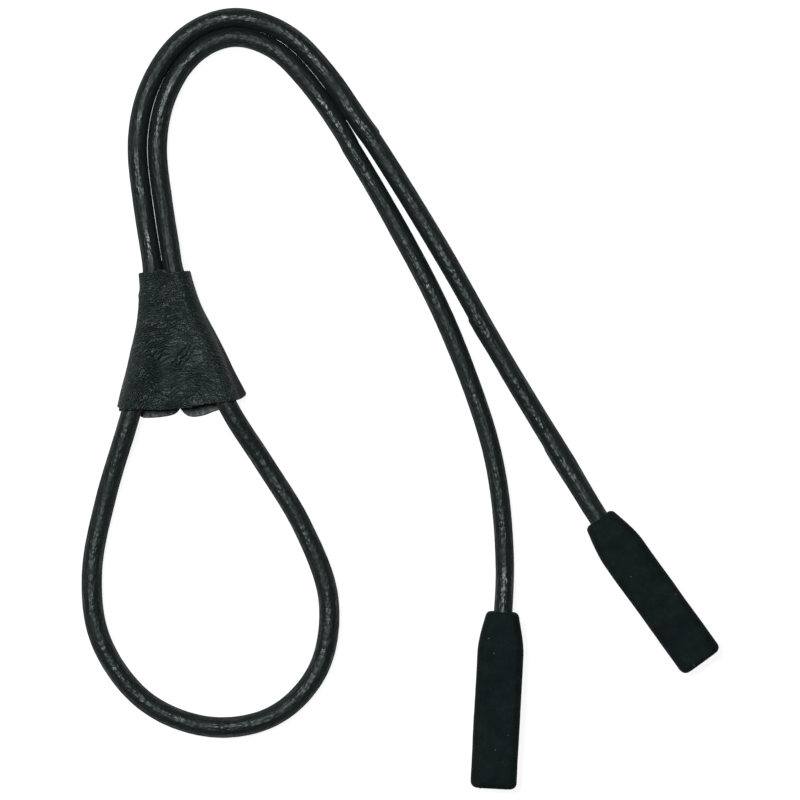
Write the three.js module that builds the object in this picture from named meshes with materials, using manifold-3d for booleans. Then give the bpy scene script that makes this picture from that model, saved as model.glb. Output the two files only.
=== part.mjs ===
// Eyeglass retainer strap, lying flat: one round leather cord is folded over a bend, a folded leather
// slider gathers its middle into a loop, and a soft temple grip is fixed on each end.
// Millimetres, +Z up. The strap lies on z = 0, and the origin is under the middle of the box that
// holds the slider and the two grips. +Y runs from the loop towards the bend.
import * as THREE from "three";
import { mergeVertices } from "three/addons/utils/BufferGeometryUtils.js";
import Module from "manifold-3d";

// ---- Driving dimensions ----
const CORD_RADIUS = 2;
const CLEARANCE = 0.3; // between two solids that touch on the real strap
const CORD_SIDES = 8;
const BORE_SIDES = 16;

const LEATHER = 1; // thickness of the slider's leather
const SLIDER_LENGTH = 28.3; // along its axis, down the middle of the front
const SLIDER_TOP_WIDTH = 10.4;
const SLIDER_HEIGHT = 6.6;
const LOWER_EDGE_BOW = 1.3; // the lower edge stands this far out at the middle
const DIMPLE_ALONG = 20; // the front is bonded to the flaps here, on the axis
const DIMPLE_SPREAD = 9;
const DIMPLE_DEPTH = 2.9;
const SLIDER_TOP = [-51.8, 53]; // middle of the edge nearest the bend
const SLIDER_LEAN = 0.127; // the slider's axis leans this far, in radians, from -Y towards +X
const FLAP_SEAM = -0.3; // where the two back flaps butt, across the slider
const FLAP_GAP = 0.3;
const FLAP_CORNER = 1.6;
// The two flaps' inner and outer edges, across the slider, and their ends, along it.
const FLAPS = [
  { inner: FLAP_SEAM - FLAP_GAP / 2, outer: -8.6, end: 29.6 },
  { inner: FLAP_SEAM + FLAP_GAP / 2, outer: 7.8, end: 30.3 },
];

const GRIP_LENGTH = 35.7;
const GRIP_WIDTH = 9.4;
const GRIP_THICKNESS = 7.2;
const GRIP_NECK = 6.5; // width at the end where the cord enters
const SHOULDER_LENGTH = 7;
const NECK_BORE_LENGTH = 3;
const SEAT_END = 9.8; // where the seat of the crimped cord end opens into the socket
const SEAT_RADIUS = 2.9;
const SOCKET_WIDTH = 7.2;
const SOCKET_HEIGHT = 4.4;
const SOCKET_CORNER = 1;

const FERRULE_LENGTH = 5;
const FERRULE_WALL = 0.3;
const FERRULE_START = NECK_BORE_LENGTH + 0.4; // from the neck, along the grip
const CORD_BORE = CORD_RADIUS + CLEARANCE;

// Heights of the cord's centreline: lying flat, held in the slider, and held in a grip.
const FLAT = CORD_RADIUS;
const HELD = LEATHER + CLEARANCE + CORD_RADIUS;
const GRIPPED = GRIP_THICKNESS / 2;

// ---- Route of the cord's centreline, from the inner grip to the outer grip ----
const INNER_RUN = [
  [17, -25.8, GRIPPED],
  [17.5, -17.2, GRIPPED],
  [17.9, -8, FLAT],
  [17, 6, FLAT],
  [15, 17, FLAT],
  [11, 29.5, FLAT],
  [4.7, 45, FLAT],
  [-3.5, 60.8, FLAT],
  [-14, 78.8, FLAT],
  [-22.2, 91.1, FLAT],
  [-29.3, 98.2, FLAT],
  [-37.5, 100.9, FLAT],
  [-46, 97, FLAT],
  [-51.1, 90, FLAT],
  [-53.3, 79.5, FLAT],
  [-52.1, 66.5, FLAT],
  [-50.2, 54.5, HELD],
  [-47.9, 46, HELD],
];
const LOOP = [
  [-43.6, 36.6, HELD],
  [-38.5, 24.6, HELD],
  [-31.7, 13.9, FLAT],
  [-23.6, 0.6, FLAT],
  [-18.2, -14.5, FLAT],
  [-20.3, -28.7, FLAT],
  [-29.1, -38.1, FLAT],
  [-42, -40.6, FLAT],
  [-55.7, -35.4, FLAT],
  [-64.9, -23, FLAT],
  [-66.8, -9.5, FLAT],
  [-63.9, 6.4, FLAT],
  [-59, 22.7, HELD],
  [-56, 34.5, HELD],
];
const OUTER_RUN = [
  [-54.3, 45.5, HELD],
  [-54.4, 55, HELD],
  [-56.3, 66.5, FLAT],
  [-57.5, 79, FLAT],
  [-55.9, 88, FLAT],
  [-51.5, 96.9, FLAT],
  [-45.8, 102.7, FLAT],
  [-37.5, 105.1, FLAT],
  [-27.2, 102, FLAT],
  [-19, 94, FLAT],
  [-9, 79.4, FLAT],
  [4.7, 57.3, FLAT],
  [17.8, 34.2, FLAT],
  [30.2, 13.7, FLAT],
  [37.4, 1.8, GRIPPED],
  [42.3, -5, GRIPPED],
];
const ROUTE = [...INNER_RUN, ...LOOP, ...OUTER_RUN];
// Points of the route where its solids meet: where the two arms part, and inside the slider.
const INNER_PARTING = 8;
const INNER_SPLIT = INNER_RUN.length - 0.5;
const OUTER_SPLIT = INNER_RUN.length + LOOP.length - 0.5;
const OUTER_PARTING = INNER_RUN.length + LOOP.length + 10;
const ROUTE_END = ROUTE.length - 1;

// Where each grip's neck is, and the angle of its axis from +X, towards its mouth.
const GRIPS = {
  inner: { neck: [17.4, -17.2], heading: THREE.MathUtils.degToRad(-93.1) },
  outer: { neck: [37.3, 1.9], heading: THREE.MathUtils.degToRad(-54.1) },
};

// ---- Materials ----
const leather = (color, roughness) =>
  new THREE.MeshStandardMaterial({ color, roughness, metalness: 0 });
const cordLeather = leather(0x1b1f20, 0.5);
const sliderLeather = leather(0x1d2122, 0.65);
const silicone = new THREE.MeshStandardMaterial({ color: 0x1a1d1e, roughness: 0.85, metalness: 0 });
const nickel = new THREE.MeshStandardMaterial({ color: 0xb8b4aa, roughness: 0.35, metalness: 1 });

// ---- Solids and booleans ----
const wasm = await Module();
wasm.setup();

function toSolid(geometry) {
  const plain = geometry.clone();
  plain.deleteAttribute("normal");
  plain.deleteAttribute("uv");
  const merged = mergeVertices(plain, 1e-4);
  return new wasm.Manifold(
    new wasm.Mesh({
      numProp: 3,
      vertProperties: new Float32Array(merged.attributes.position.array),
      triVerts: new Uint32Array(merged.index.array),
    }),
  );
}

function toGeometry(solid) {
  const { vertProperties, triVerts } = solid.getMesh();
  const geometry = new THREE.BufferGeometry();
  geometry.setAttribute("position", new THREE.BufferAttribute(vertProperties, 3));
  geometry.setIndex(new THREE.BufferAttribute(triVerts, 1));
  geometry.computeVertexNormals();
  return geometry;
}

function namedMesh(name, geometry, material) {
  const mesh = new THREE.Mesh(geometry, material);
  mesh.name = name;
  return mesh;
}

// A closed skin over rings of equally many points, with a flat fan on each end.
function loft(rings) {
  const count = rings[0].length;
  const positions = rings.flat(2);
  const index = [];
  for (let ring = 0; ring < rings.length - 1; ring++) {
    for (let i = 0; i < count; i++) {
      const a = ring * count + i;
      const b = ring * count + ((i + 1) % count);
      index.push(a, b, b + count, a, b + count, a + count);
    }
  }
  const last = (rings.length - 1) * count;
  for (let i = 1; i < count - 1; i++) {
    index.push(0, i + 1, i);
    index.push(last, last + i, last + i + 1);
  }
  const geometry = new THREE.BufferGeometry();
  geometry.setAttribute("position", new THREE.Float32BufferAttribute(positions, 3));
  geometry.setIndex(index);
  return geometry;
}

// ---- Cord ----
const route = new THREE.CatmullRomCurve3(ROUTE.map((point) => new THREE.Vector3(...point)));
route.arcLengthDivisions = 2000;
const routeLength = route.getLength();
const lengths = route.getLengths();

// Distance along the route to one of its points; a fraction is a place between two points.
function lengthTo(point) {
  return lengths[Math.round((point / ROUTE_END) * route.arcLengthDivisions)];
}

// The stretch of the route between two distances from its start.
class Stretch extends THREE.Curve {
  constructor(start, end) {
    super();
    this.start = start;
    this.end = end;
  }
  getPoint(t, target = new THREE.Vector3()) {
    return route.getPointAt((this.start + t * (this.end - this.start)) / routeLength, target);
  }
}

function polygon(radius, sides) {
  const shape = new THREE.Shape();
  for (let i = 0; i < sides; i++) {
    const angle = ((i + 0.5) / sides) * 2 * Math.PI;
    const point = [radius * Math.cos(angle), radius * Math.sin(angle)];
    if (i === 0) shape.moveTo(...point);
    else shape.lineTo(...point);
  }
  return shape;
}

function tube(start, end, radius, sides, step) {
  const steps = Math.round((end - start) / step);
  const extrudePath = new Stretch(start, end);
  return new THREE.ExtrudeGeometry(polygon(radius, sides), { steps, extrudePath, bevelEnabled: false });
}

// The cord is one piece of leather. Its solids meet where the arms flex, and inside the slider.
function makeCord() {
  const gap = CLEARANCE / 2;
  const pieces = [
    ["cord_inner_arm", 0, INNER_PARTING, 10],
    ["cord_inner_bend", INNER_PARTING, INNER_SPLIT, 6],
    ["cord_loop", INNER_SPLIT, OUTER_SPLIT, 8],
    ["cord_outer_bend", OUTER_SPLIT, OUTER_PARTING, 6],
    ["cord_outer_arm", OUTER_PARTING, ROUTE_END, 10],
  ];
  return pieces.map(([name, from, to, step]) =>
    namedMesh(
      name,
      tube(lengthTo(from) + gap, lengthTo(to) - gap, CORD_RADIUS, CORD_SIDES, step),
      cordLeather,
    ),
  );
}

// ---- Slider: one piece of leather folded round both runs, its flaps butted on the back ----
// Its own frame has X along the slider, away from the bend, Y across it and Z up.
function halfWidth(along) {
  const share = along / SLIDER_LENGTH;
  return SLIDER_TOP_WIDTH / 2 + 3.9 * share + 5 * share ** 2;
}

// Distance of each run from the slider's axis.
function runOffset(along) {
  const edge = CORD_RADIUS + LEATHER + 0.15;
  return halfWidth(along) - edge - 1.2 * (along / SLIDER_LENGTH) ** 3;
}

// Height of the front between the runs, where it is drawn down and bonded to the flaps.
function valleyHeight(along) {
  const bonded = Math.exp(-(((along - DIMPLE_ALONG) / DIMPLE_SPREAD) ** 2));
  return SLIDER_HEIGHT - 0.3 - DIMPLE_DEPTH * bonded;
}

// The outline of the slider across its axis: flat below, a bulge over each run, a valley between.
function sliderRing(along, trim) {
  const width = halfWidth(along) - trim;
  const run = runOffset(along);
  const bulge = SLIDER_HEIGHT / 2;
  const half = [
    [width - 1.1, trim],
    [width - 0.3, 0.4 + trim],
    [width, 1.4],
  ];
  for (let degrees = 15; degrees <= 95; degrees += 20) {
    const angle = THREE.MathUtils.degToRad(degrees);
    const across = Math.min(run + bulge * Math.cos(angle), width - 0.1);
    half.push([across, bulge + (bulge - trim) * Math.sin(angle)]);
  }
  const valley = valleyHeight(along) - trim;
  half.push([run * 0.55, (valley + SLIDER_HEIGHT) / 2 - trim]);
  half.push([run * 0.2, valley]);
  const other = half.map(([across, height]) => [-across, height]).reverse();
  return [...half, ...other];
}

// The front and back as one closed skin, with softened ends; the lower edge bows outwards.
function sliderShell() {
  const edge = 0.4;
  const side = SLIDER_LENGTH - LOWER_EDGE_BOW; // length along the slider's two sides
  const stations = [{ along: 0, trim: edge }];
  const spans = 7;
  for (let i = 0; i <= spans; i++) {
    stations.push({ along: edge + ((side - 2 * edge) * i) / spans, trim: 0 });
  }
  stations.push({ along: side, trim: edge });
  const rings = stations.map(({ along, trim }) =>
    sliderRing(along, trim).map(([across, height]) => {
      const bow = LOWER_EDGE_BOW * (1 - (across / halfWidth(along)) ** 2) * (along / side) ** 4;
      return [along + bow, across, height];
    }),
  );
  return loft(rings);
}

// The part of a back flap that shows past the front's edge: a plate with round corners.
function flapPlate({ inner, outer, end }) {
  const start = SLIDER_LENGTH - 8;
  const corner = Math.sign(outer - inner) * FLAP_CORNER;
  const shape = new THREE.Shape();
  shape.moveTo(start, inner);
  shape.lineTo(start, outer);
  shape.lineTo(end - 0.6 - FLAP_CORNER, outer);
  shape.quadraticCurveTo(end - 0.6, outer, end - 0.3, outer - corner);
  shape.lineTo(end, inner + corner);
  shape.quadraticCurveTo(end, inner, end - FLAP_CORNER, inner);
  return new THREE.ExtrudeGeometry(shape, { depth: LEATHER, bevelEnabled: false, curveSegments: 5 });
}

// The channel that holds a run, round the middle of the route's given point, in the route's frame.
function channel(point) {
  const middle = lengthTo(point);
  const reach = 22; // past both ends of the slider
  return tube(middle - reach, middle + reach, CORD_RADIUS + CLEARANCE + 0.1, 12, 2.5);
}

function makeSlider() {
  const group = new THREE.Group();
  group.position.set(...SLIDER_TOP, 0);
  group.rotation.z = SLIDER_LEAN - Math.PI / 2;
  group.updateMatrix();
  const toSlider = group.matrix.clone().invert();

  const seam = new THREE.BoxGeometry(SLIDER_LENGTH + 6, FLAP_GAP, LEATHER);
  seam.translate(SLIDER_LENGTH / 2 + 2, FLAP_SEAM, LEATHER / 2 - 0.05);
  let leatherPiece = toSolid(sliderShell());
  for (const flap of FLAPS) leatherPiece = leatherPiece.add(toSolid(flapPlate(flap)));
  for (const point of [INNER_SPLIT, OUTER_SPLIT]) {
    leatherPiece = leatherPiece.subtract(toSolid(channel(point).applyMatrix4(toSlider)));
  }
  leatherPiece = leatherPiece.subtract(toSolid(seam));
  group.add(namedMesh("slider_leather", toGeometry(leatherPiece), sliderLeather));
  return group;
}

// ---- Temple grips: hollow silicone sleeves ----
// A grip's own frame has X from its neck to its mouth, Y across it and Z up from its middle.
function roundedRing(along, width, height, corner) {
  const ring = [];
  const perCorner = 4;
  for (let side = 0; side < 4; side++) {
    const y = (side === 0 || side === 3 ? 1 : -1) * (width / 2 - corner);
    const z = (side < 2 ? 1 : -1) * (height / 2 - corner);
    for (let i = 0; i <= perCorner; i++) {
      const angle = (side + i / perCorner) * (Math.PI / 2);
      ring.push([along, y + corner * Math.cos(angle), z + corner * Math.sin(angle)]);
    }
  }
  return ring;
}

// Each station of the outside: distance from the neck, width, height and corner radius.
function gripBody() {
  const edge = 0.8;
  const corner = 1.8;
  const stations = [
    [0, GRIP_NECK - edge, GRIP_THICKNESS - 1.2, corner + 0.4],
    [edge, GRIP_NECK, GRIP_THICKNESS - 0.5, corner + 0.4],
    [SHOULDER_LENGTH * 0.55, GRIP_WIDTH - 1.1, GRIP_THICKNESS, corner + 0.2],
    [SHOULDER_LENGTH, GRIP_WIDTH, GRIP_THICKNESS, corner],
    [GRIP_LENGTH - edge, GRIP_WIDTH, GRIP_THICKNESS, corner],
    [GRIP_LENGTH, GRIP_WIDTH - edge, GRIP_THICKNESS - edge, corner - 0.2],
  ];
  return loft(stations.map((station) => roundedRing(...station)));
}

// Turned about X: radius against distance from the neck.
function turned(profile) {
  const points = profile.map(([radius, along]) => new THREE.Vector2(radius, along));
  return new THREE.LatheGeometry(points, BORE_SIDES).rotateZ(-Math.PI / 2);
}

// The cord's way in, a wider seat for its crimped end, and the socket for a glasses temple.
function gripHollow() {
  const seat = turned([
    [0, -1],
    [CORD_BORE, -1],
    [CORD_BORE, NECK_BORE_LENGTH],
    [SEAT_RADIUS, NECK_BORE_LENGTH],
    [SEAT_RADIUS, SEAT_END],
    [0, SEAT_END],
  ]);
  const socket = [SEAT_END - 0.4, GRIP_LENGTH + 1].map((along) =>
    roundedRing(along, SOCKET_WIDTH, SOCKET_HEIGHT, SOCKET_CORNER),
  );
  return toSolid(seat).add(toSolid(loft(socket)));
}

function makeGrip(side, { neck, heading }) {
  const group = new THREE.Group();
  group.position.set(...neck, GRIPPED);
  group.rotation.z = heading;

  const sleeve = toSolid(gripBody()).subtract(gripHollow());
  group.add(namedMesh(`${side}_grip`, toGeometry(sleeve), silicone));

  const end = FERRULE_START + FERRULE_LENGTH;
  const ferrule = turned([
    [CORD_BORE, FERRULE_START],
    [CORD_BORE + FERRULE_WALL, FERRULE_START],
    [CORD_BORE + FERRULE_WALL, end],
    [CORD_BORE, end],
    [CORD_BORE, FERRULE_START],
  ]);
  group.add(namedMesh(`${side}_ferrule`, ferrule, nickel));
  return group;
}

// ---- Assembly ----
const strap = new THREE.Group();
strap.add(...makeCord());
strap.add(makeSlider());
for (const [side, place] of Object.entries(GRIPS)) strap.add(makeGrip(side, place));

export default strap;
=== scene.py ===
"""Eyeglass retainer strap: a round leather cord, its folded leather slider and two temple grips."""

import math

import bpy
import numpy as np
from mathutils import Matrix, Vector, noise

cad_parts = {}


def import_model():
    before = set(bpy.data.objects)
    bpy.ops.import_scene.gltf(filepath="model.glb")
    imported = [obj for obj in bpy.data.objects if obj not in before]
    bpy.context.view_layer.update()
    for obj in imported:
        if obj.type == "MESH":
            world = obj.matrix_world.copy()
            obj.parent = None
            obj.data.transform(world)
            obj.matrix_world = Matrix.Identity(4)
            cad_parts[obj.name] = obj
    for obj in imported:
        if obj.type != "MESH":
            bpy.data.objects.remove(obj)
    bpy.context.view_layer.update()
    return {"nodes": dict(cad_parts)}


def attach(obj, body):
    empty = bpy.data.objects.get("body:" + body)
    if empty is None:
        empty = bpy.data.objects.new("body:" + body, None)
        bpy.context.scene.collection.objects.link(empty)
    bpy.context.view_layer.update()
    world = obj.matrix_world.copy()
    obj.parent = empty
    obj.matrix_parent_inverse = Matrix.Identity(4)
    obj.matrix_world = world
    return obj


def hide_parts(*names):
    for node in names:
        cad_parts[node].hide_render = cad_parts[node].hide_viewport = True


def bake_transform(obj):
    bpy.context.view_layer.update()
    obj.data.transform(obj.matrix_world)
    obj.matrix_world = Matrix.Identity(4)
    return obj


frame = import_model()
nodes = frame["nodes"]

MM = 0.001

# ---- Camera, straight above ----
VIEW_CENTRE = (-0.0036, 0.0265)
VIEW_WIDTH = 0.164
VIEW_LEVEL = 0.002  # the height at which the view is that wide
LENS = 200
SENSOR = 36

camera_data = bpy.data.cameras.new("camera")
camera_data.lens = LENS
camera_data.sensor_width = SENSOR
camera_data.clip_start = 0.05
camera_data.clip_end = 20
camera = bpy.data.objects.new("camera", camera_data)
camera.location = (*VIEW_CENTRE, VIEW_WIDTH * LENS / SENSOR + VIEW_LEVEL)
bpy.context.scene.collection.objects.link(camera)
bpy.context.scene.camera = camera
bpy.context.scene.view_settings.view_transform = "Standard"


# ---- Node materials ----
class Nodes:
    """A material's node tree, with short ways to add to it."""

    def __init__(self, name):
        self.material = bpy.data.materials.new(name)
        self.material.use_nodes = True
        self.tree = self.material.node_tree
        self.shader = self.tree.nodes["Principled BSDF"]

    def add(self, kind, inputs=None, **settings):
        node = self.tree.nodes.new("ShaderNode" + kind)
        for key, value in settings.items():
            setattr(node, key, value)
        for key, value in (inputs or {}).items():
            if isinstance(value, bpy.types.NodeSocket):
                self.tree.links.new(value, node.inputs[key])
            else:
                node.inputs[key].default_value = value
        return node

    def place(self, attribute=None):
        """Where a point is on the piece, in millimetres."""
        if attribute:
            source = self.add("Attribute", attribute_name=attribute).outputs["Vector"]
        else:
            source = self.add("TexCoord").outputs["Object"]
        return self.scaled(source, (1000, 1000, 1000))

    def scaled(self, vector, factors):
        return self.add("VectorMath", {0: vector, 1: factors}, operation="MULTIPLY").outputs[0]

    def noise(self, vector, scale, detail=2.0, roughness=0.5, distortion=0.0):
        return self.add(
            "TexNoise",
            {
                "Vector": vector,
                "Scale": scale,
                "Detail": detail,
                "Roughness": roughness,
                "Distortion": distortion,
            },
        ).outputs["Fac"]

    def math(self, operation, a, b=0.0):
        return self.add("Math", {0: a, 1: b}, operation=operation).outputs[0]

    def plus(self, *values):
        """The values added up, from the last pair to the first value."""
        total = values[-1]
        for value in values[-2::-1]:
            total = self.math("ADD", value, total)
        return total

    def times(self, a, b):
        return self.math("MULTIPLY", a, b)

    def minus(self, a, b):
        return self.math("SUBTRACT", a, b)

    def ranged(self, value, low, high, to_low, to_high):
        """The value carried from one range to another, held at both ends."""
        return self.add(
            "MapRange",
            {"Value": value, "From Min": low, "From Max": high, "To Min": to_low, "To Max": to_high},
        ).outputs["Result"]

    def ramp(self, value, stops):
        """A colour that goes through the stops, each a position and a colour."""
        node = self.add("ValToRGB", {"Fac": value})
        ramp = node.color_ramp
        while len(ramp.elements) < len(stops):
            ramp.elements.new(0.5)
        for element, (position, colour) in zip(ramp.elements, stops):
            element.position = position
            element.color = (*colour, 1)
        return node.outputs["Color"]

    def bump(self, height, distance, strength=1.0, under=None):
        inputs = {"Height": height, "Distance": distance, "Strength": strength}
        if under is not None:
            inputs["Normal"] = under
        return self.add("Bump", inputs).outputs["Normal"]

    def surface(self, linked, **values):
        """The finished material, with sockets linked and plain values set on its shader."""
        for key, value in values.items():
            self.shader.inputs[key.replace("_", " ")].default_value = value
        for key, socket in linked.items():
            self.tree.links.new(socket, self.shader.inputs[key])
        return self.material


def cord_leather():
    """Dyed round leather: beaded grain, polished along its top in patches and matte down its flanks."""
    n = Nodes("cord_leather")
    at = n.place("skin")
    height_up = n.add("SeparateXYZ", {"Vector": at}).outputs[2]
    beads = n.add(
        "TexVoronoi",
        {
            "Vector": n.scaled(at, (0.95, 1.3, 1.3)),
            "Scale": 1.0,
            "Smoothness": 0.5,
            "Randomness": 0.95,
        },
        feature="SMOOTH_F1",
    ).outputs["Distance"]
    fine = n.noise(at, 4.5, 2, 0.6)
    across = n.noise(n.scaled(at, (1.3, 0.6, 0.6)), 1.0, 2, 0.5, 0.6)
    along = n.noise(n.scaled(at, (0.24, 1.4, 1.4)), 1.0, 2, 0.6)
    patches = n.noise(at, 0.11, 2, 0.5)
    spots = n.noise(at, 0.75, 2, 0.5)
    height = n.plus(n.plus(n.times(beads, -0.8), n.times(across, 0.3)), n.times(along, 1.1))
    normal = n.bump(height, 0.14 * MM, 1.0)
    normal = n.bump(fine, 0.02 * MM, 0.8, normal)
    colour = n.ramp(
        n.plus(n.times(spots, 0.5), n.times(patches, 0.5)),
        [
            (0.32, (0.0046, 0.0068, 0.0070)),
            (0.52, (0.0064, 0.0094, 0.0096)),
            (0.70, (0.0100, 0.0136, 0.0136)),
        ],
    )
    polish = n.ranged(n.plus(n.times(along, 0.5), n.times(spots, 0.5)), 0.36, 0.6, 0.42, 0.25)
    dull = n.ranged(patches, 0.40, 0.60, 0.22, 0.0)
    flank = n.ranged(height_up, 0.2, 1.4, 0.46, 0.0)
    rough = n.plus(polish, dull, flank)
    linked = {"Base Color": colour, "Roughness": rough, "Normal": normal}
    return n.surface(linked, Specular_IOR_Level=0.20)


PINCH = (19.5, 0.3)  # where the slider's leather is pinched in, along and across it, in millimetres
ARCH = 0.035  # how much the wrinkles across it are arched, per millimetre
WRINKLE = 0.62  # how far apart its fine wrinkles are
CREASE = 0.95  # how far apart the deeper creases are that run up to the right from the pinch
CREASE_RUN = (-0.72, 0.69)  # the way they run, along and across


def slider_leather():
    """Fine-grained matte nappa, dyed black, creased in arcs across it and in rays from its pinch."""
    n = Nodes("slider_leather")
    at = n.place("skin")
    along, across, up = n.add("SeparateXYZ", {"Vector": at}).outputs
    from_pinch = (n.minus(along, PINCH[0]), n.minus(across, PINCH[1]))

    # Fine wrinkles in arcs across the slider.
    drift = n.ranged(n.noise(at, 0.20, 2, 0.5), 0, 1, -2.4, 2.4)
    sway = n.ranged(n.noise(at, 0.9, 2, 0.6), 0, 1, -0.5, 0.5)
    arch = n.times(n.times(across, across), -ARCH)
    down = n.plus(n.plus(along, arch), n.plus(n.times(up, 0.4), drift))
    wave = n.math("SINE", n.times(n.plus(down, sway), 2 * math.pi / WRINKLE))
    folded = n.add("CombineXYZ", {"X": down, "Y": n.times(across, 0.42), "Z": n.times(up, 0.42)})
    broken = n.noise(folded.outputs[0], 2.3, 1, 0.5, 0.15)
    folds = n.plus(n.times(wave, 0.26), n.times(broken, 0.9))

    # Rays up to the right of the pinch, in place of the arcs there.
    away = n.math("SQRT", n.plus(*[n.times(d, d) for d in from_pinch]))
    turn = n.math("ARCTAN2", *from_pinch)
    fan = n.add("CombineXYZ", {"X": n.times(turn, 2.6), "Y": n.times(away, 0.25), "Z": drift})
    rays = n.noise(fan.outputs[0], 3.0, 2, 0.55, 0.2)
    near = n.times(n.ranged(away, 0.8, 2.2, 0, 1), n.ranged(away, 4.0, 7.0, 1, 0))
    near = n.times(near, n.ranged(across, -2.0, 0.8, 0, 1))
    near = n.times(near, n.ranged(from_pinch[0], -0.6, 1.2, 1, 0))
    creased = n.add("Mix", {"Factor": near, "A": folds, "B": rays}, data_type="FLOAT").outputs["Result"]

    # A few deeper creases side by side.
    step_along, step_across = CREASE_RUN
    reach = n.minus(n.times(from_pinch[1], step_across), n.times(from_pinch[0], -step_along))
    beside = n.plus(n.times(from_pinch[1], -step_along), n.times(from_pinch[0], step_across))
    bent = n.plus(beside, n.ranged(n.noise(at, 0.55, 2, 0.5), 0, 1, -0.7, 0.7))
    lines = n.ranged(n.math("COSINE", n.times(bent, 2 * math.pi / CREASE)), 0.35, 1.0, 0, 1)
    lines = n.times(lines, n.ranged(n.math("ABSOLUTE", beside), 0.5, 1.7, 1.0, 0.0))
    ends = n.times(n.ranged(reach, -1.4, -0.4, 0, 1), n.ranged(reach, 3.0, 5.6, 1, 0))
    lines = n.times(lines, ends)

    # The wrinkles are shallow in patches and on the right, where the leather is stretched.
    grain = n.noise(at, 2.4, 3, 0.6)
    patch = n.ranged(n.noise(at, 0.3, 2, 0.5), 0.35, 0.65, 0.5, 1.0)
    to_right = n.plus(across, n.times(along, -0.3))
    depth = n.times(patch, n.ranged(to_right, -2.0, 2.0, 1.0, 0.4))
    height = n.plus(n.times(creased, depth), n.times(grain, 0.25))
    height = n.minus(height, n.times(lines, 0.8))
    normal = n.bump(height, 0.46 * MM, 1.0)

    # Painted light in the colour: paler low on the slider's left as a painted highlight, and darker on
    # the right and in the folds as painted shade.
    wide = n.noise(at, 0.22, 2, 0.5)
    # Painted shade: darker in the folds and in the deeper creases.
    painted_fold_shade = n.minus(creased, n.times(lines, 0.45))
    # Painted highlight: paler low on the slider's left.
    painted_highlight_and_shade = n.times(n.ranged(along, 9, 20, 0.0, 0.07), n.ranged(across, -8.0, -3.0, 0.0, 1.0))
    # Painted shade: darker towards the right.
    painted_highlight_and_shade = n.minus(painted_highlight_and_shade, n.ranged(to_right, -2.0, 2.0, 0.0, 0.13))
    colour = n.ramp(
        n.plus(painted_highlight_and_shade, n.times(painted_fold_shade, 0.75), n.times(wide, 0.3)),
        [
            (0.30, (0.0046, 0.0078, 0.0080)),
            (0.52, (0.0092, 0.0136, 0.0136)),
            (0.70, (0.0200, 0.0262, 0.0256)),
        ],
    )
    rough = n.plus(n.ranged(grain, 0.3, 0.7, 0.36, 0.46), n.ranged(up, 2.5, 5.7, 0.42, 0.0))
    linked = {"Base Color": colour, "Roughness": rough, "Normal": normal}
    return n.surface(linked, Specular_IOR_Level=0.20)


def flesh_side():
    """The suede back of the slider's leather: grey-black, fibrous and mottled."""
    n = Nodes("slider_flesh_side")
    at = n.place("skin")
    fibres = n.noise(n.scaled(at, (2.4, 1.4, 2.0)), 1.0, 5, 0.7, 1.2)
    clumps = n.noise(at, 1.1, 3, 0.6)
    normal = n.bump(n.plus(fibres, clumps), 0.16 * MM, 0.9)
    colour = n.ramp(
        n.plus(n.times(fibres, 0.5), n.times(clumps, 0.5)),
        [
            (0.36, (0.0260, 0.0300, 0.0296)),
            (0.52, (0.0880, 0.0960, 0.0950)),
            (0.66, (0.2100, 0.2200, 0.2160)),
        ],
    )
    linked = {"Base Color": colour, "Normal": normal}
    return n.surface(linked, Roughness=0.95, Specular_IOR_Level=0.15)


def cut_edge():
    """The cut edge of the leather: dark, with the brown of the tanned core showing through."""
    n = Nodes("slider_cut_edge")
    at = n.place("skin")
    fibres = n.noise(n.scaled(at, (1.0, 3.0, 3.0)), 1.2, 4, 0.7)
    colour = n.ramp(
        fibres,
        [
            (0.32, (0.0060, 0.0062, 0.0058)),
            (0.58, (0.0130, 0.0120, 0.0100)),
            (0.78, (0.0360, 0.0290, 0.0220)),
        ],
    )
    normal = n.bump(fibres, 0.1 * MM, 0.8)
    return n.surface({"Base Color": colour, "Normal": normal}, Roughness=0.85, Specular_IOR_Level=0.2)


def silicone():
    """Matte moulded silicone, which holds a little dust."""
    n = Nodes("silicone")
    at = n.place()
    fine = n.noise(at, 2.6, 3, 0.6)
    wide = n.noise(at, 0.35, 3, 0.55)
    cells = n.add("TexVoronoi", {"Vector": at, "Scale": 0.62, "Randomness": 1.0})
    chance = n.add("TexWhiteNoise", {"Vector": cells.outputs["Position"]}, noise_dimensions="3D")
    chosen = n.ranged(chance.outputs["Value"], 0.80, 0.92, 0.0, 1.0)
    speck = n.times(n.ranged(cells.outputs["Distance"], 0.05, 0.11, 1.0, 0.0), chosen)
    base = n.ramp(
        n.plus(n.times(wide, 0.45), n.times(fine, 0.55)),
        [
            (0.36, (0.0024, 0.0044, 0.0046)),
            (0.53, (0.0050, 0.0078, 0.0080)),
            (0.68, (0.0092, 0.0132, 0.0132)),
        ],
    )
    dust = (0.075, 0.088, 0.085, 1)
    colour = n.add("Mix", {"Factor": speck, "A": base, "B": dust}, data_type="RGBA")
    rough = n.ranged(fine, 0.3, 0.7, 0.66, 0.86)
    normal = n.bump(n.plus(fine, speck), 0.06 * MM, 0.7)
    linked = {"Base Color": colour.outputs["Result"], "Roughness": rough, "Normal": normal}
    return n.surface(linked, Specular_IOR_Level=0.06)


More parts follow.
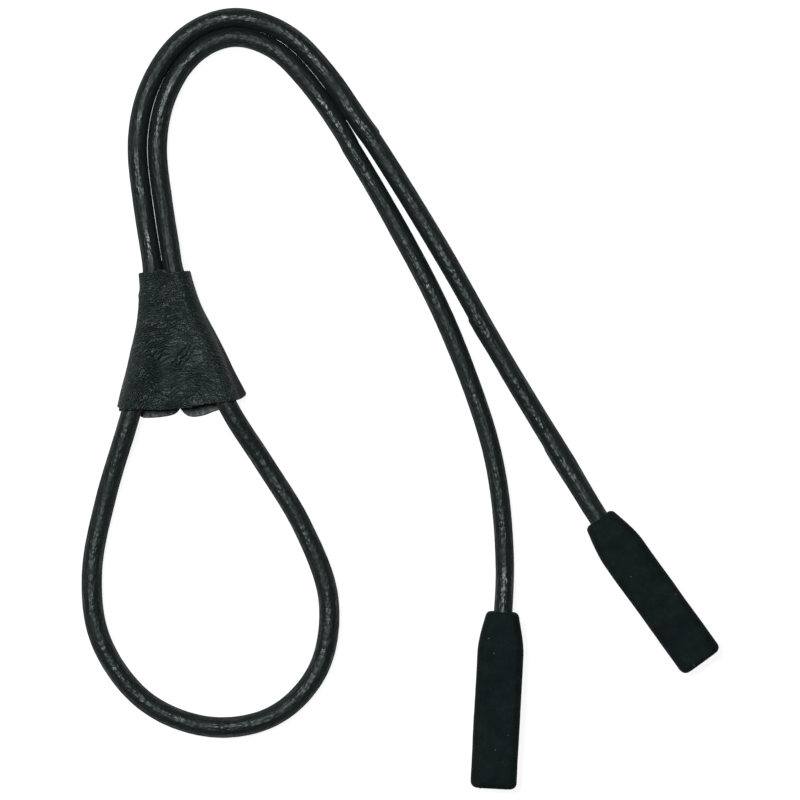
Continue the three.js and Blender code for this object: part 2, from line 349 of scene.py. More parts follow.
def nickel():
    """Thin nickel-plated brass, drawn along its length and a little tarnished."""
    n = Nodes("nickel")
    at = n.place()
    drawn = n.noise(n.scaled(at, (1.0, 6.0, 6.0)), 1.5, 3, 0.6)
    stain = n.noise(at, 0.9, 3, 0.6)
    colour = n.ramp(
        stain, [(0.35, (0.60, 0.58, 0.53)), (0.60, (0.66, 0.64, 0.60)), (0.80, (0.44, 0.40, 0.33))]
    )
    rough = n.ranged(drawn, 0.3, 0.7, 0.22, 0.42)
    normal = n.bump(drawn, 0.03 * MM, 0.5)
    return n.surface({"Base Color": colour, "Roughness": rough, "Normal": normal}, Metallic=1.0)


def floor_paper():
    """A white light table under the strap."""
    n = Nodes("floor_paper")
    at = n.place()
    tooth = n.noise(at, 1.5, 3, 0.6)
    colour = n.ramp(tooth, [(0.3, (0.13, 0.13, 0.13)), (0.7, (0.15, 0.15, 0.15))])
    return n.surface(
        {"Base Color": colour},
        Roughness=0.9,
        Specular_IOR_Level=0.1,
        Emission_Color=(1, 1, 1, 1),
        Emission_Strength=0.92,
    )


CORD = cord_leather()
GRAIN = slider_leather()
FLESH = flesh_side()
CUT = cut_edge()
SILICONE = silicone()
NICKEL = nickel()


# ---- Meshes ----
def mesh_object(name, points, faces, materials, skin=None, which=None, sharp=None):
    """A smooth-shaded mesh in metres. skin is each point's place on the hide, which is each face's
    material, and sharp says which faces are flat."""
    mesh = bpy.data.meshes.new(name)
    mesh.from_pydata([tuple(p) for p in points], [], [tuple(int(i) for i in f) for f in faces])
    for material in materials:
        mesh.materials.append(material)
    smooth = [True] * len(faces) if sharp is None else [not is_sharp for is_sharp in sharp]
    mesh.polygons.foreach_set("use_smooth", smooth)
    if which is not None:
        mesh.polygons.foreach_set("material_index", [int(w) for w in which])
    if skin is not None:
        attribute = mesh.attributes.new("skin", "FLOAT_VECTOR", "POINT")
        attribute.data.foreach_set("vector", np.asarray(skin, np.float32).ravel())
    mesh.update()
    obj = bpy.data.objects.new(name, mesh)
    bpy.context.scene.collection.objects.link(obj)
    return obj


def grid_faces(rows, columns, wrap=False, offset=0, flip=False):
    """Quads over rows of equally many points; wrap joins the last column to the first, and flip turns
    their other side out."""
    faces = []
    for row in range(rows - 1):
        for column in range(columns if wrap else columns - 1):
            following = (column + 1) % columns
            a, b = offset + row * columns + column, offset + row * columns + following
            face = (a, b, b + columns, a + columns)
            faces.append(face[::-1] if flip else face)
    return faces


def smooth_step(value, low, high):
    share = np.clip((value - low) / (high - low), 0, 1)
    return share * share * (3 - 2 * share)


def hump(value, centre, width):
    return np.exp(-(((value - centre) / width) ** 2))


def grain_noise(points, scale):
    """Smooth noise from -1 to 1 at points in metres; scale is its detail per millimetre."""
    flat = np.asarray(points, float).reshape(-1, 3) * (scale / MM)
    values = [noise.noise(Vector(p)) for p in flat]
    return np.array(values).reshape(np.asarray(points).shape[:-1])


# ---- Cord ----
CORD_RADIUS = 0.002
# Heights of the cord's centreline: lying flat, held in the slider, and held in a grip.
FLAT = CORD_RADIUS
HELD = 0.0033
GRIPPED = 0.0036

INNER_RUN = [
    (0.0170, -0.0258, GRIPPED),
    (0.0175, -0.0172, GRIPPED),
    (0.0179, -0.0080, FLAT),
    (0.0170, 0.0060, FLAT),
    (0.0150, 0.0170, FLAT),
    (0.0110, 0.0295, FLAT),
    (0.0047, 0.0450, FLAT),
    (-0.0035, 0.0608, FLAT),
    (-0.0140, 0.0788, FLAT),
    (-0.0222, 0.0911, FLAT),
    (-0.0293, 0.0982, FLAT),
    (-0.0375, 0.1009, FLAT),
    (-0.0460, 0.0970, FLAT),
    (-0.0511, 0.0900, FLAT),
    (-0.0533, 0.0795, FLAT),
    (-0.0521, 0.0665, FLAT),
    (-0.0502, 0.0545, HELD),
    (-0.0479, 0.0460, HELD),
]
LOOP = [
    (-0.0436, 0.0366, HELD),
    (-0.0385, 0.0246, HELD),
    (-0.0317, 0.0139, FLAT),
    (-0.0236, 0.0006, FLAT),
    (-0.0182, -0.0145, FLAT),
    (-0.0203, -0.0287, FLAT),
    (-0.0291, -0.0381, FLAT),
    (-0.0420, -0.0406, FLAT),
    (-0.0557, -0.0354, FLAT),
    (-0.0649, -0.0230, FLAT),
    (-0.0668, -0.0095, FLAT),
    (-0.0639, 0.0064, FLAT),
    (-0.0590, 0.0227, HELD),
    (-0.0560, 0.0345, HELD),
]
OUTER_RUN = [
    (-0.0543, 0.0455, HELD),
    (-0.0544, 0.0550, HELD),
    (-0.0563, 0.0665, FLAT),
    (-0.0575, 0.0790, FLAT),
    (-0.0559, 0.0880, FLAT),
    (-0.0515, 0.0969, FLAT),
    (-0.0458, 0.1027, FLAT),
    (-0.0375, 0.1051, FLAT),
    (-0.0272, 0.1020, FLAT),
    (-0.0190, 0.0940, FLAT),
    (-0.0090, 0.0794, FLAT),
    (0.0047, 0.0573, FLAT),
    (0.0178, 0.0342, FLAT),
    (0.0302, 0.0137, FLAT),
    (0.0374, 0.0018, GRIPPED),
    (0.0423, -0.0050, GRIPPED),
]
ROUTE = np.array(INNER_RUN + LOOP + OUTER_RUN)
# Points of the route where its pieces meet: at the two crowns, and inside the slider.
INNER_CROWN = 11
INNER_SPLIT = len(INNER_RUN) - 0.5
OUTER_SPLIT = len(INNER_RUN) + len(LOOP) - 0.5
OUTER_CROWN = len(INNER_RUN) + len(LOOP) + 7
PER_SPAN = 200  # samples between two of the route's points
RING_STEP = 0.0004
CORD_SIDES = 32


def centripetal(points, per_span):
    """A centripetal Catmull-Rom curve through the points, with as many samples from each to the next."""
    ends = [2 * points[0] - points[1], *points, 2 * points[-1] - points[-2]]
    share = (np.arange(per_span) / per_span)[:, None]
    spans = []
    for p0, p1, p2, p3 in zip(ends, ends[1:], ends[2:], ends[3:]):
        d0, d1, d2 = (math.sqrt(np.linalg.norm(b - a)) for a, b in ((p0, p1), (p1, p2), (p2, p3)))
        m1 = ((p1 - p0) / d0 - (p2 - p0) / (d0 + d1) + (p2 - p1) / d1) * d1
        m2 = ((p2 - p1) / d1 - (p3 - p1) / (d1 + d2) + (p3 - p2) / d2) * d1
        spans.append(
            p1
            + m1 * share
            + (3 * (p2 - p1) - 2 * m1 - m2) * share**2
            + (2 * (p1 - p2) + m1 + m2) * share**3
        )
    return np.vstack([*spans, points[-1:]])


def lengths_along(points):
    steps = np.linalg.norm(np.diff(points, axis=0), axis=1)
    return np.concatenate([[0], np.cumsum(steps)])


def at_lengths(points, lengths, wanted):
    return np.stack([np.interp(wanted, lengths, points[:, i]) for i in range(3)], axis=1)


curve = centripetal(ROUTE, PER_SPAN)
curve_lengths = lengths_along(curve)
CORD_LENGTH = curve_lengths[-1]

# The centreline at even steps, eased so that its bends swell and fade as leather's do.
EASE = 4  # rings
LAST_RING = int(CORD_LENGTH / RING_STEP)
line_lengths = np.linspace(0, CORD_LENGTH, LAST_RING + 1)
line = at_lengths(curve, curve_lengths, line_lengths)
kernel = np.exp(-0.5 * (np.arange(-3 * EASE, 3 * EASE + 1) / EASE) ** 2)
kernel /= kernel.sum()
for axis in range(3):
    padded = np.pad(line[:, axis], 3 * EASE, mode="reflect", reflect_type="odd")
    line[:, axis] = np.convolve(padded, kernel, mode="valid")
line[:, 2] = np.maximum(line[:, 2], FLAT)


def ring_of(point):
    """The ring nearest to one of the route's points; a fraction is a place between two points."""
    return int(round(curve_lengths[int(round(point * PER_SPAN))] / CORD_LENGTH * LAST_RING))


# How thick the leather was cut: distance along the cord, and its radius there.
THICKNESS = [
    (0.000, 0.00190),
    (0.058, 0.00194),
    (0.068, 0.00201),
    (0.092, 0.00201),
    (0.103, 0.00190),
    (0.114, 0.00191),
    (0.130, 0.00201),
    (0.200, 0.00201),
    (0.262, 0.00202),
    (0.275, 0.00210),
    (0.345, 0.00213),
    (0.370, 0.00208),
    (0.400, 0.00202),
    (0.500, 0.00202),
    (0.515, 0.00208),
    (0.530, 0.00202),
    (0.555, 0.00204),
    (0.567, 0.00197),
    (0.585, 0.00206),
    (0.597, 0.00212),
    (0.605, 0.00221),
    (0.613, 0.00209),
    (0.627, 0.00197),
]
thickness = np.interp(line_lengths, *np.array(THICKNESS).T)

# Skived joints in the leather: distance along the cord, the side they show on, their step, and how far
# they take to fade; where that is negative they fade in and end at the step.
SPLICES = [
    (0.5209, 0.0, 0.00022, -0.009),
    (0.5270, math.pi, 0.00024, -0.011),
    (0.5693, 0.1, 0.00026, 0.010),
    (0.6001, 0.2, 0.00014, 0.012),
]


HAIR_GAP = 0.00008  # between the two runs where they lie side by side
PRESSED = 0.00003  # how far they are pressed into each other
TOUCHING = (0.00052, 0.00064)  # a gap up to the first is drawn together, and one past the second isn't
PULL_RINGS = 9  # how many rings the pull is evened out over


def press_together(one, other):
    """Moves two stretches of the cord together where they lie side by side: pressed into each other at
    the crown of their bend, and a hair's breadth apart down its sides."""
    shifts = []
    for here, there in ((one, other), (other, one)):
        away = line[there][None, :, :] - line[here][:, None, :]
        distance = np.linalg.norm(away, axis=2)
        nearest = distance.argmin(axis=1)
        pick = np.arange(len(nearest))
        gap = distance[pick, nearest] - thickness[here] - thickness[there][nearest]
        x, y = line[here][:, 0], line[here][:, 1]
        crown = smooth_step(y, 0.0885, 0.0945) * (1 - smooth_step(x, -0.032, -0.025))
        kept = HAIR_GAP * (1 - crown) - PRESSED
        pull = 0.5 * (gap - kept) * (1 - smooth_step(gap, *TOUCHING))
        shift = away[pick, nearest] / distance[pick, nearest][:, None] * pull[:, None]
        even = np.ones(PULL_RINGS) / PULL_RINGS
        shifts.append(np.stack([np.convolve(shift[:, i], even, mode="same") for i in range(3)], axis=1))
    line[one] += shifts[0]
    line[other] += shifts[1]


press_together(slice(ring_of(8), ring_of(16.2)), slice(ring_of(32.8), ring_of(42)))


LUMPS = 0.03 * MM  # how far the leather's long lumps, its pebbles and its finer pebbles stand out
PEBBLES = 0.020 * MM
FINE_PEBBLES = 0.016 * MM


def cord_surface():
    """Rings of points round the centreline, with each point's place on the straightened cord."""
    tangents = np.gradient(line, axis=0)
    tangents /= np.linalg.norm(tangents, axis=1)[:, None]
    side = np.cross(tangents, (0, 0, 1))
    side /= np.linalg.norm(side, axis=1)[:, None]
    up = np.cross(side, tangents)
    angles = np.arange(CORD_SIDES) / CORD_SIDES * 2 * math.pi
    round_side, round_up = np.cos(angles), np.sin(angles)
    straight = np.empty((len(line), CORD_SIDES, 3))
    straight[..., 0] = line_lengths[:, None]
    straight[..., 1] = CORD_RADIUS * round_side
    straight[..., 2] = CORD_RADIUS * round_up
    joints = line_lengths[[ring_of(p) for p in (INNER_CROWN, INNER_SPLIT, OUTER_SPLIT, OUTER_CROWN)]]
    from_joint = np.abs(line_lengths[:, None] - joints[None, :]).min(axis=1)[:, None]
    lumps = grain_noise(straight, 0.11) * LUMPS
    pebbles = grain_noise(straight + 0.3, 0.5) * PEBBLES
    pebbles += grain_noise(straight + 0.7, 1.1) * FINE_PEBBLES
    radius = thickness[:, None] + lumps + pebbles * smooth_step(from_joint, 0.0005, 0.003)
    for where, angle, step, reach in SPLICES:
        past = (line_lengths[:, None] - where) * math.copysign(1, reach)
        lifted = smooth_step(past, -0.0002, 0.0002) * (1 - smooth_step(past, 0.0006, abs(reach)))
        facing = smooth_step(np.cos(angles - angle), 0.0, 0.9)
        radius = radius + step * lifted * facing
    points = line[:, None, :] + radius[..., None] * (
        round_side[None, :, None] * side[:, None, :] + round_up[None, :, None] * up[:, None, :]
    )
    points[..., 2] = np.maximum(points[..., 2], 0.00001)
    return points, straight


cord_points, cord_straight = cord_surface()
TUCK = 0.995  # a piece's end is narrowed to this share where it reaches into the next piece
PATH_STEP = 5  # rings


def cord_piece(name, first, last):
    """The cord from one ring to another as a closed tube that reaches one ring into its neighbours,
    and its path."""
    reverse = first > last
    path = line[min(first, last) : max(first, last) + 1]
    path = np.vstack([path[::PATH_STEP], path[-1:]])
    low, high = max(min(first, last) - 1, 0), min(max(first, last) + 1, LAST_RING)
    rings = cord_points[low : high + 1].copy()
    for end, middle in ((0, line[low]), (-1, line[high])):
        rings[end] = middle + (rings[end] - middle) * TUCK
    count = len(rings)
    points = np.vstack([rings.reshape(-1, 3), line[low : low + 1], line[high : high + 1]])
    middles = [[line_lengths[low], 0, 0], [line_lengths[high], 0, 0]]
    skin = np.vstack([cord_straight[low : high + 1].reshape(-1, 3), middles])
    faces = grid_faces(count, CORD_SIDES, wrap=True, flip=True)
    tube = len(faces)
    start, end = count * CORD_SIDES, count * CORD_SIDES + 1
    for i in range(CORD_SIDES):
        following = (i + 1) % CORD_SIDES
        faces.append((start, i, following))
        faces.append((end, end - 1 - CORD_SIDES + following, end - 1 - CORD_SIDES + i))
    sharp = [i >= tube for i in range(len(faces))]
    obj = mesh_object(name, points, faces, [CORD], skin=skin, sharp=sharp)
    return obj, path[::-1] if reverse else path


def declare(path, node):
    """Hides the model's part that a piece of the cord stands for; its path is not used."""
    path = [tuple(float(c) for c in p) for p in path]
    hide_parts(node)


inner_arm, inner_arm_path = cord_piece("cord_inner_arm_skin", 0, ring_of(INNER_CROWN))
outer_arm, outer_arm_path = cord_piece("cord_outer_arm_skin", LAST_RING, ring_of(OUTER_CROWN))
inner_bend, inner_bend_path = cord_piece(
    "cord_inner_bend_skin", ring_of(INNER_CROWN), ring_of(INNER_SPLIT)
)
outer_bend, outer_bend_path = cord_piece(
    "cord_outer_bend_skin", ring_of(OUTER_CROWN), ring_of(OUTER_SPLIT)
)
loop, loop_path = cord_piece("cord_loop_skin", ring_of(INNER_SPLIT), ring_of(OUTER_SPLIT))

declare(inner_arm_path, "cord_inner_arm")
declare(inner_bend_path, "cord_inner_bend")
declare(loop_path, "cord_loop")
declare(outer_bend_path, "cord_outer_bend")
declare(outer_arm_path, "cord_outer_arm")

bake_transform(inner_arm)
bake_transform(outer_arm)
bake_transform(loop)
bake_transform(inner_bend)
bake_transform(outer_bend)

# ---- Slider: one piece of leather folded round both runs, its two flaps butted on the back ----
SLIDER_TOP = np.array([-0.0518, 0.0530])
SLIDER_AXIS = np.array([0.12666, -0.99195])
SLIDER_ACROSS = np.array([0.99195, 0.12666])
SLIDER_LENGTH = 28.3  # its own sizes are in millimetres, along it, across it and up
SLIDER_HEIGHT = 6.6
LEATHER = 1.0
CUT_SLOPE = 0.22  # the blade was held a little aslant
ROWS = 240
PROFILE_SPAN = 12  # samples between two points of an outline
# The dimple in its front: how far along it is, how far it spreads, how deep it is, and how far it draws
# the valley between the two runs to the left.
DIMPLE_ALONG = 20.5
DIMPLE_SPREAD = 5.8
DIMPLE_DEPTH = 1.7
VALLEY_SHIFT = -2.2
RIGHT_SINK = 0.28  # how much lower its cover over the right run is than over the left one
# The seam between its two flaps, and the tongue they make past its upper edge, which stands up between
# the two runs to darken the slit there as painted shade.
SEAM = -0.55
SEAM_GAP = 0.05
SHADE_TONGUE = 2.3


def in_slider(points):
    """Points in metres as distances along, across and up the slider, in millimetres."""
    flat = points[:, :2] - SLIDER_TOP
    return np.stack([flat @ SLIDER_AXIS, flat @ SLIDER_ACROSS, points[:, 2]], axis=1) / MM


def run_across(first, last):
    """How far across the slider a run of the cord lies, against the distance along it."""
    run = in_slider(line[min(first, last) : max(first, last)])
    run = run[np.argsort(run[:, 0])]
    return lambda along: np.interp(along, run[:, 0], run[:, 1])


inner_run = run_across(ring_of(15), ring_of(20))
outer_run = run_across(ring_of(29), ring_of(34))


def smooth_through(points):
    """A smooth curve through points in a plane, as a function of their first number."""
    curve_points = centripetal(np.array(points, float), PROFILE_SPAN)
    return lambda value: np.interp(value, curve_points[:, 0], curve_points[:, 1])


# Distance along the slider, and how far its folded edges reach on either side there.
LEFT_EDGE = [
    (-2, 5.25),
    (3.3, 5.55),
    (4.4, 5.98),
    (5.4, 6.0),
    (8, 6.5),
    (12, 7.7),
    (16, 9.2),
    (20, 10.8),
    (24, 12.4),
    (32, 15),
]
RIGHT_EDGE = [
    (-2, 4.95),
    (2, 5.3),
    (6, 6.0),
    (8, 6.5),
    (10, 7.2),
    (14, 8.75),
    (18, 10.2),
    (22, 11.5),
    (26, 13.0),
    (32, 15.2),
]
# Distance across it, and where the front's two ends and the ends of its two flaps are along it.
FRONT_TOP = [(-5.6, -0.1), (-5.0, -0.3), (-4.2, -0.45), (0, -0.05), (3.7, 0.25), (4.7, 0.4), (5.3, 0.7)]
FRONT_FOOT = [
    (-13.6, 26.5),
    (-13.2, 26.65),
    (-11.8, 27.3),
    (-9.1, 27.5),
    (-4.4, 28.15),
    (-0.8, 28.4),
    (1.7, 28.45),
    (3.8, 28.2),
    (8.0, 28.25),
    (11.6, 28.15),
    (12.7, 27.75),
    (13.6, 27.1),
]
LEFT_FLAP = [
    (-9.3, 27.4),
    (-8.9, 28.4),
    (-8.4, 29.15),
    (-6.6, 29.55),
    (-3.2, 29.65),
    (-1.8, 29.45),
    (-1.0, 29.0),
    (-0.6, 28.45),
]
RIGHT_FLAP = [
    (-0.5, 28.45),
    (-0.3, 29.1),
    (0.2, 29.75),
    (0.9, 30.25),
    (1.7, 30.5),
    (3.8, 30.45),
    (5.7, 29.95),
    (7.3, 29.6),
    (8.6, 28.9),
    (9.2, 27.6),
]

left_edge = smooth_through(LEFT_EDGE)
right_edge = smooth_through(RIGHT_EDGE)


def dimple(along):
    """How much of the dimple there is at a distance along the slider, from 0 to 1."""
    return math.exp(-(((along - DIMPLE_ALONG) / DIMPLE_SPREAD) ** 2))


def outline(along):
    """Control points of the leather's outside across the slider, at one distance along it, from seam
    to seam."""
    middle = SLIDER_HEIGHT / 2
    low = SLIDER_HEIGHT - 0.1 - DIMPLE_DEPTH * dimple(along)
    floor_at = VALLEY_SHIFT * dimple(along)
    points = []
    # Each side's folded edge, how far out its run of the cord is, and how high its cover bulges.
    sides = (
        (-1, left_edge, -float(outer_run(along)), middle),
        (1, right_edge, float(inner_run(along)), middle - RIGHT_SINK),
    )
    for side, edge, run, bulge in sides:
        width = float(edge(along))
        crest = middle + bulge
        half = [
            (width * 0.45, 0.0),
            (width - 2.6, 0.0),
            (width - 1.2, 0.05),
            (width - 0.35, 0.55),
            (width, 1.7),
        ]
        for degrees in (12, 32, 52, 72, 92):
            angle = math.radians(degrees)
            reach = min(run + middle * math.cos(angle), width - 0.02 * degrees / 12)
            half.append((reach, middle + bulge * math.sin(angle)))
        for share, rise in ((0.62, 0.62), (0.30, 0.14)):
            half.append((side * floor_at + (run - side * floor_at) * share, low + (crest - low) * rise))
        if side < 0:
            points.append((SEAM - SEAM_GAP / 2, 0.0))
            points += [(-across, height) for across, height in half]
            points.append((floor_at, low))
        else:
            points += half[::-1]
            points.append((SEAM + SEAM_GAP / 2, 0.0))
    return np.array(points)


def make_slider():
    """The folded sheet: its grain side, its flesh side and the cut edge between them."""
    alongs = np.linspace(-1.5, 31.5, 133)
    sections = np.array([centripetal(outline(along), PROFILE_SPAN) for along in alongs])
    columns = sections.shape[1]

    def section_at(along):
        """The outside at a distance along the slider, for each column its own distance."""
        place = np.clip((along - alongs[0]) / (alongs[1] - alongs[0]), 0, len(alongs) - 1.001)
        low = place.astype(int)
        part = (place - low)[..., None]
        column = np.broadcast_to(np.arange(columns), along.shape)
        return sections[low, column] * (1 - part) + sections[low + 1, column] * part

    # The sheet's top and bottom edge at each column: the front bows, and the flaps stand past it.
    middle = section_at(np.full(columns, SLIDER_LENGTH - 1.0))
    across, height = middle[:, 0], middle[:, 1]
    column = np.arange(columns)
    is_back = (height < 0.6) & (np.abs(column / columns - 0.5) > 0.25)
    front_end = smooth_through(FRONT_FOOT)(across)
    left_flap, right_flap = smooth_through(LEFT_FLAP), smooth_through(RIGHT_FLAP)
    flap_end = np.where(across < SEAM, left_flap(across), right_flap(across))
    bottom = np.where(is_back, np.maximum(flap_end, front_end - 1.2), front_end)
    ragged = np.array([noise.noise(Vector((c * 0.16, 3.1, 0))) for c in column])
    front_top = smooth_through(FRONT_TOP)(across)
    # The tongue stands past the front between the runs, a sheet put there as painted shade for the slit.
    shade_tongue = SHADE_TONGUE * (1 - smooth_step(np.abs(across - SEAM), 1.2, 3.6))
    top = np.where(is_back, front_top + 0.2 - shade_tongue, front_top) + 0.10 * ragged
    for edge in (bottom, top):
        edge[1:-1] = (edge[:-2] + 2 * edge[1:-1] + edge[2:]) / 4

    shares = np.linspace(0, 1, ROWS)[:, None]
    along = top[None, :] + (bottom - top)[None, :] * shares
    outside = section_at(along)
    # The grain side is rounded over where it was cut.
    from_end = np.minimum(along - top[None, :], bottom[None, :] - along)
    rounded = 0.12 * (1 - smooth_step(from_end, 0, 0.3))
    tangent = np.gradient(outside, axis=1)
    tangent /= np.linalg.norm(tangent, axis=2)[..., None]
    normal = np.stack([tangent[..., 1], -tangent[..., 0]], axis=2)  # into the leather

    surface = np.concatenate([along[..., None], outside], axis=2)
    outer = outside + normal * (rounded - slider_relief(surface))[..., None]
    along_inside = np.clip(along, top[None, :] + CUT_SLOPE, bottom[None, :] - CUT_SLOPE)
    inner = section_at(along_inside) + normal * LEATHER
    # The front is bonded down to the flaps, so its inside never drops below their inside.
    is_front = ~is_back
    inner[:, is_front, 1] = np.maximum(inner[:, is_front, 1], LEATHER + 0.02)
    inner[:, is_back, 1] = np.minimum(inner[:, is_back, 1], LEATHER)

    def world(sheet, along):
        """Points of a sheet, across and up the slider, as points in the frame."""
        flat = SLIDER_TOP + (along[..., None] * SLIDER_AXIS + sheet[..., :1] * SLIDER_ACROSS) * MM
        return np.concatenate([flat, np.maximum(sheet[..., 1:], 0) * MM], axis=2).reshape(-1, 3)

    count = ROWS * columns
    points = np.vstack([world(outer, along), world(inner, along_inside)])
    grid = np.arange(count).reshape(ROWS, columns)
    rim = [*grid[0], *grid[1:, -1], *grid[-1, -2::-1], *grid[-2:0:-1, 0]]
    grain_faces = grid_faces(ROWS, columns, flip=True)
    flesh_faces = grid_faces(ROWS, columns, offset=count)
    cut_faces = [(a, b, b + count, a + count) for a, b in zip(rim, rim[1:] + rim[:1])]
    hides = [np.concatenate([along[..., None], sheet], axis=2) for sheet in (outside, inner)]
    return mesh_object(
        "slider_leather_skin",
        points,
        grain_faces + flesh_faces + cut_faces,
        [GRAIN, FLESH, CUT],
        skin=np.vstack([hide.reshape(-1, 3) for hide in hides]) * MM,
        which=[0] * len(grain_faces) + [1] * len(flesh_faces) + [2] * len(cut_faces),
    )


def slider_relief(surface):
    """How far the grain side stands out, in millimetres: its wrinkles, its crease and its unevenness."""
    along, across, height = np.moveaxis(surface, 2, 0)
    points = surface * MM
    warp = grain_noise(points, 0.22) * 1.5
    down = along - ARCH * across**2 + 0.4 * height + warp
    across_folds = np.stack([down * 1.6, across * 0.5, height * 0.5], axis=2)
    small_folds = np.stack([down * 3.0, across * 1.1 + 7, height * 1.1], axis=2)
    past_pinch, beside_pinch = along - PINCH[0], across - PINCH[1]
    away = np.hypot(past_pinch, beside_pinch)
    angle = np.arctan2(past_pinch, beside_pinch)
    rays = np.stack([angle * 9, away * 0.45, warp * 0.3 + 11], axis=2)
    above_right = smooth_step(across, -2.0, 0.8) * (1 - smooth_step(past_pinch, -0.6, 1.2))
    near = hump(away, 3.4, 2.2) * above_right
    patch = 0.45 + 0.55 * smooth_step(grain_noise(points + 0.9, 0.3), -0.3, 0.35)
    folds = grain_noise(across_folds * MM, 1.0) * 0.018 + grain_noise(small_folds * MM, 1.0) * 0.034
    wrinkles = folds * (1 - 0.8 * near) * patch + grain_noise(rays * MM, 1.0) * near * 0.16
    crease_along = 20.6 - 2.6 * np.clip(across, 0, 1.5)
    crease = -0.34 * hump(along, crease_along, 0.28) * hump(across, 0.5, 0.8)
    front = smooth_step(height, 1.2, 3.0)
    broad = grain_noise(points + 1.7, 0.12) * 0.04
    return (wrinkles + crease) * front + broad


slider = make_slider()
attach(slider, "slider")
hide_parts("slider_leather")

# ---- Temple grips: hollow silicone sleeves ----
# Sizes are in millimetres, and a grip's own frame runs along it from where its neck starts.
GRIP_LENGTH = 35.7
GRIP_WIDTH = 9.4
GRIP_THICKNESS = 7.2
GRIP_NECK = 6.5
SHOULDER = 9.0
NECK_END = -0.37
NECK_THINNING = 0.6  # how much thinner it is at its neck
NECK_ROUND = 0.85
NECK_MOUTH = 0.25  # the round at the bore's edge, and at the socket's
LIP_ROUND = 1.25
NECK_BORE = 2.3
NECK_BORE_LENGTH = 3.0
SEAT_RADIUS = 2.9
SEAT_END = 9.8
SOCKET = (7.2, 4.4, 1.0)  # width, height and corner
GRIP_SIDES = 96


def ring_shape(width, height, corner):
    """Points round a rounded rectangle, each at its own even angle, so that rings of any shape join
    cleanly."""
    angles = (np.arange(GRIP_SIDES) + 0.5) / GRIP_SIDES * 2 * math.pi
    direction = np.stack([np.cos(angles), np.sin(angles)], axis=1)
    core = np.array([width / 2 - corner, height / 2 - corner])
    reach = np.full(GRIP_SIDES, float(max(width, height)))
    low = np.zeros(GRIP_SIDES)
    for _ in range(40):
        middle = (low + reach) / 2
        outside = np.maximum(np.abs(direction * middle[:, None]) - core, 0)
        is_out = np.linalg.norm(outside, axis=1) > corner
        reach = np.where(is_out, middle, reach)
        low = np.where(is_out, low, middle)
    return direction * low[:, None]


def grip_width(along):
    """How wide the grip is at a distance along it, as its shoulders swell from the neck."""
    share = np.clip((along - NECK_END) / SHOULDER, 0, 1)
    return GRIP_NECK + (GRIP_WIDTH - GRIP_NECK) * np.sin(share * math.pi / 2) ** 1.15


def quarter(steps, first=0):
    """Angles through a quarter turn."""
    return [step / steps * math.pi / 2 for step in range(first, steps + 1)]


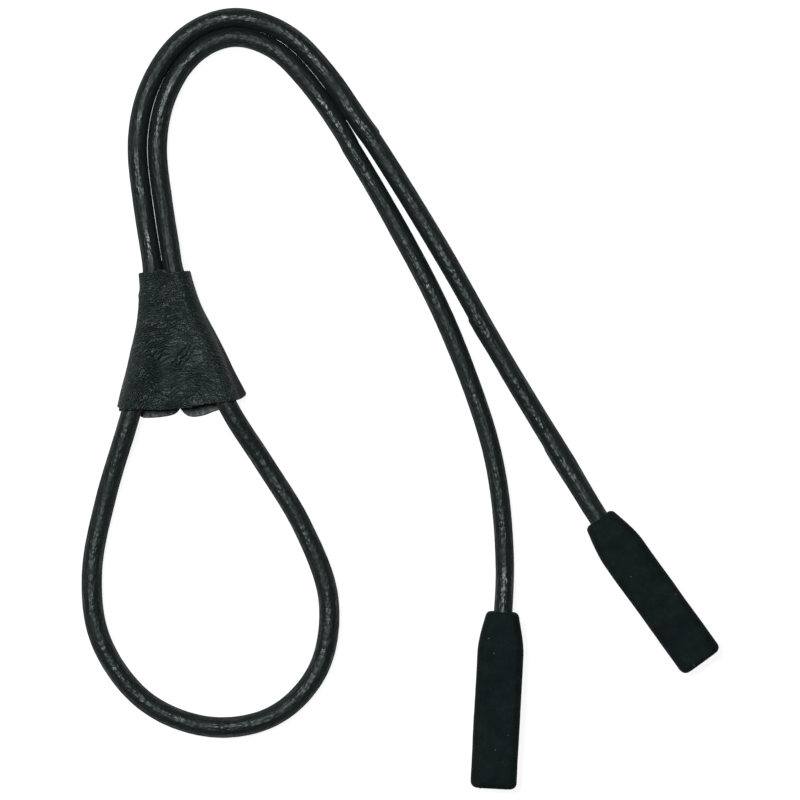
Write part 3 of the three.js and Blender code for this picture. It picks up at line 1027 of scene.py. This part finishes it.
def make_grip(name, neck, heading, nubs):
    """A sleeve from its neck bore, over the outside and the mouth, into the socket and back to the bore.
    Each nub left by the mould is how far across the mouth it is, and its size."""
    rings = []

    def ring(along, width, height, corner):
        rings.append((along, ring_shape(width, height, corner)))

    bore = 2 * NECK_BORE
    for along in (3.0, 2.2, 1.4, 0.7, 0.1):
        ring(along, bore, bore, NECK_BORE - 0.001)
    for angle in quarter(6, first=1):
        grow = NECK_MOUTH * (1 - math.cos(angle))
        along = NECK_END + 0.3 - NECK_MOUTH * math.sin(angle)
        ring(along, bore + 2 * grow, bore + 2 * grow, NECK_BORE + grow - 0.001)
    outside_from = len(rings)
    mouth = bore + 2 * NECK_MOUTH
    neck_height = GRIP_THICKNESS - NECK_THINNING
    for share in (0.25, 0.5, 0.75):
        ring(
            NECK_END + 0.05 * (1 - share),
            mouth + (grip_width(NECK_END) - 2 * NECK_ROUND - mouth) * share,
            mouth + (neck_height - 2 * NECK_ROUND - mouth) * share,
            2.5,
        )
    for angle in quarter(8):
        along = NECK_END + NECK_ROUND * (1 - math.cos(angle))
        inset = NECK_ROUND * (1 - math.sin(angle))
        ring(along, grip_width(along) - 2 * inset, neck_height - 2 * inset, 2.2 - 0.5 * inset)
    for along in [*np.linspace(0.8, 8, 18), *np.linspace(8.5, GRIP_LENGTH - 1.7, 44)]:
        thinner = NECK_THINNING * (1 - min(1.0, along / 5)) ** 2
        ring(along, float(grip_width(along)), GRIP_THICKNESS - thinner, 1.9 + 0.3 * thinner)
    for angle in quarter(8):
        inset = LIP_ROUND * (1 - math.cos(angle))
        along = GRIP_LENGTH - LIP_ROUND + LIP_ROUND * math.sin(angle)
        ring(along, GRIP_WIDTH - 2 * inset, GRIP_THICKNESS - 1.4 * inset, 1.9 - 0.6 * inset)
    outside_to = len(rings)
    wide, high, corner = SOCKET
    for angle in quarter(4):
        grow = NECK_MOUTH * (1 - math.sin(angle))
        along = GRIP_LENGTH - NECK_MOUTH * (1 - math.cos(angle))
        ring(along, wide + 2 * grow, high + 2 * grow, corner + grow)
    for along in np.linspace(GRIP_LENGTH - 1, SEAT_END, 12):
        ring(along, wide, high, corner)
    seat = 2 * SEAT_RADIUS
    for along in (SEAT_END - 0.3, 6.5, NECK_BORE_LENGTH):
        ring(along, min(seat, wide), seat, SEAT_RADIUS - 0.001)

    along = np.array([r[0] for r in rings])
    shape = np.array([r[1] for r in rings])
    local = np.concatenate([np.broadcast_to(along[:, None, None], (*shape.shape[:2], 1)), shape], axis=2)
    # The outside is a little uneven, as a soft moulding is.
    index = np.arange(len(rings))
    is_outside = (index >= outside_from) & (index < outside_to)
    seeded = local * MM + heading
    relief = grain_noise(seeded, 0.12) * 0.09 + grain_noise(seeded, 0.5) * 0.02
    local[..., 1:] *= (1 + (relief / 4.0) * is_outside[:, None])[..., None]
    for across, size in nubs:
        at_edge = hump(local[..., 1], across, size) * hump(local[..., 2], -2.7, 0.8)
        at_mouth = smooth_step(local[..., 0], GRIP_LENGTH - 0.4, GRIP_LENGTH - 0.05)
        local[..., 0] += size * 1.4 * at_edge * at_mouth * (shape_reach(local) > 0.6)
    turned = local.reshape(-1, 3) @ np.array(Matrix.Rotation(heading, 3, "Z")).T
    points = turned * MM + np.array([*neck, GRIPPED])
    points[:, 2] = np.maximum(points[:, 2], 0)
    faces = grid_faces(len(rings), GRIP_SIDES, wrap=True)
    last = (len(rings) - 1) * GRIP_SIDES
    for i in range(GRIP_SIDES):
        following = (i + 1) % GRIP_SIDES
        faces.append((last + i, i, following, last + following))
    return mesh_object(name, points, faces, [SILICONE])


def shape_reach(local):
    """How far out a point is, as a share of the grip's half width or half thickness."""
    half = np.array([GRIP_WIDTH, GRIP_THICKNESS]) / 2
    return (np.abs(local[..., 1:]) / half).max(axis=2)


inner_grip = make_grip(
    "inner_grip_skin", (0.0174, -0.0172), math.radians(-93.1), nubs=[(-2.6, 0.42), (1.4, 0.36)]
)
outer_grip = make_grip("outer_grip_skin", (0.0373, 0.0019), math.radians(-54.1), nubs=[(1.2, 0.35)])
for grip, body, node in (
    (inner_grip, "inner_sleeve", "inner_grip"),
    (outer_grip, "outer_sleeve", "outer_grip"),
):
    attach(grip, body)
    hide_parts(node)

# ---- Crimped sleeves inside the grips ----
for name in ("inner_ferrule", "outer_ferrule"):
    mesh = nodes[name].data
    for slot in range(len(mesh.materials)):
        mesh.materials[slot] = NICKEL

# ---- Floor and light ----
FLOOR_REACH = 3
FLOOR_LEVEL = -0.00002  # just under what lies on it
KEY_PLACE = (-0.27, 0.22, 1.10)
KEY_AIM = (-0.004, 0.026, 0)

corners = [(-1, -1), (1, -1), (1, 1), (-1, 1)]
floor = mesh_object(
    "floor",
    [(x * FLOOR_REACH, y * FLOOR_REACH, FLOOR_LEVEL) for x, y in corners],
    [(0, 1, 2, 3)],
    [floor_paper()],
)

key_data = bpy.data.lights.new("key_light", "AREA")
key_data.shape = "SQUARE"
key_data.size = 0.26
key_data.energy = 16
key_data.color = (0.91, 1.0, 0.99)
key = bpy.data.objects.new("key_light", key_data)
key.location = KEY_PLACE
key.rotation_euler = (Vector(KEY_AIM) - Vector(KEY_PLACE)).to_track_quat("-Z", "Y").to_euler()
bpy.context.scene.collection.objects.link(key)

world = bpy.data.worlds.new("world")
world.use_nodes = True
background = world.node_tree.nodes["Background"]
background.inputs["Color"].default_value = (0.90, 1.0, 1.0, 1)
background.inputs["Strength"].default_value = 0.07
bpy.context.scene.world = world
